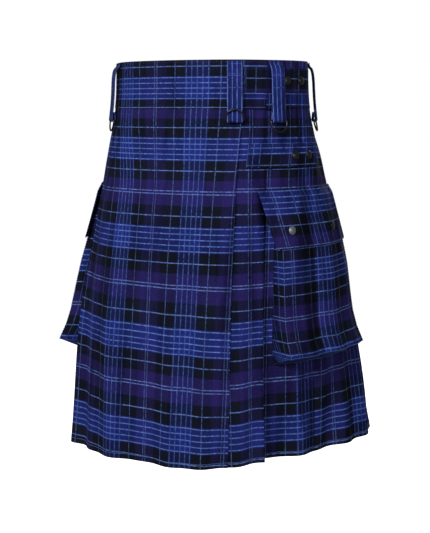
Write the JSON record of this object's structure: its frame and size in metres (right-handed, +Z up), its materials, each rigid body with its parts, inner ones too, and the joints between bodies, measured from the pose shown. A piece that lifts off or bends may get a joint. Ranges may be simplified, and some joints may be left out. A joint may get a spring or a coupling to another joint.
{
  "type": "utility kilt",
  "caption": "Hollow wrap-front utility kilt in woven tartan, with a snap-tab waistband, ringed belt straps, flapped cargo pockets and a knife-pleated back.",
  "frame": {"origin": "centre of the waist opening, half way up the waistband's height", "axes": "+Z up through the waist along the kilt's longest extent, -Y the wearer's front, +X the wearer's left; Y is the shortest extent"},
  "size_m": [0.4951, 0.4503, 0.616],
  "materials": {
    "tartan": "woven twill tartan of deep purple, blue and black with light blue lines",
    "gunmetal": "plated dark grey, semi-gloss",
    "nickel": "bright nickel plate"
  },
  "bodies": {
    "kilt": {"apron": "tartan", "closing_panel": "tartan", "under_apron": "tartan", "side_left": "tartan", "side_right": "tartan", "back_pleats": "tartan", "waistband": "tartan", "waistband_over": "tartan", "waist_tab": "tartan", "hip_tab": "tartan", "waist_tab_stud_1": "gunmetal", "waist_tab_stud_2": "gunmetal", "hip_tab_stud_1": "gunmetal", "hip_tab_stud_2": "gunmetal", "strap_front": "tartan", "strap_front_side": "tartan", "strap_left_side": "tartan", "strap_right_front": "tartan", "strap_right_side": "tartan", "strap_back_left": "tartan", "strap_back_right": "tartan", "pocket_bag_left": "tartan", "pocket_bag_right": "tartan", "pocket_flap_left": "tartan", "pocket_flap_right": "tartan", "flap_left_stud_1": "nickel", "flap_left_stud_2": "gunmetal", "flap_right_stud_1": "nickel", "flap_right_stud_2": "gunmetal"},
    "front_ring": {"ring_front": "gunmetal"},
    "front_side_ring": {"ring_front_side": "gunmetal"},
    "left_side_ring": {"ring_left_side": "gunmetal"},
    "right_front_ring": {"ring_right_front": "gunmetal"}
  },
  "joints": [
    {"name": "front_ring_swing", "type": "hinge", "parent": "kilt", "child": "front_ring", "pos_m": [0.09971, -0.11393, -0.054], "axis": [-0.8841, -0.4673, 0], "range_deg": [-150, 0]},
    {"name": "front_side_ring_swing", "type": "hinge", "parent": "kilt", "child": "front_side_ring", "pos_m": [0.15107, -0.06529, -0.054], "axis": [-0.5837, -0.812, 0], "range_deg": [-6, 150]},
    {"name": "left_side_ring_swing", "type": "hinge", "parent": "kilt", "child": "left_side_ring", "pos_m": [0.16414, 0.04811, -0.054], "axis": [0.479, -0.8778, 0], "range_deg": [-10, 145]},
    {"name": "right_front_ring_swing", "type": "hinge", "parent": "kilt", "child": "right_front_ring", "pos_m": [-0.13339, -0.08655, -0.054], "axis": [-0.6932, 0.7208, 0], "range_deg": [-6, 150]}
  ]
}
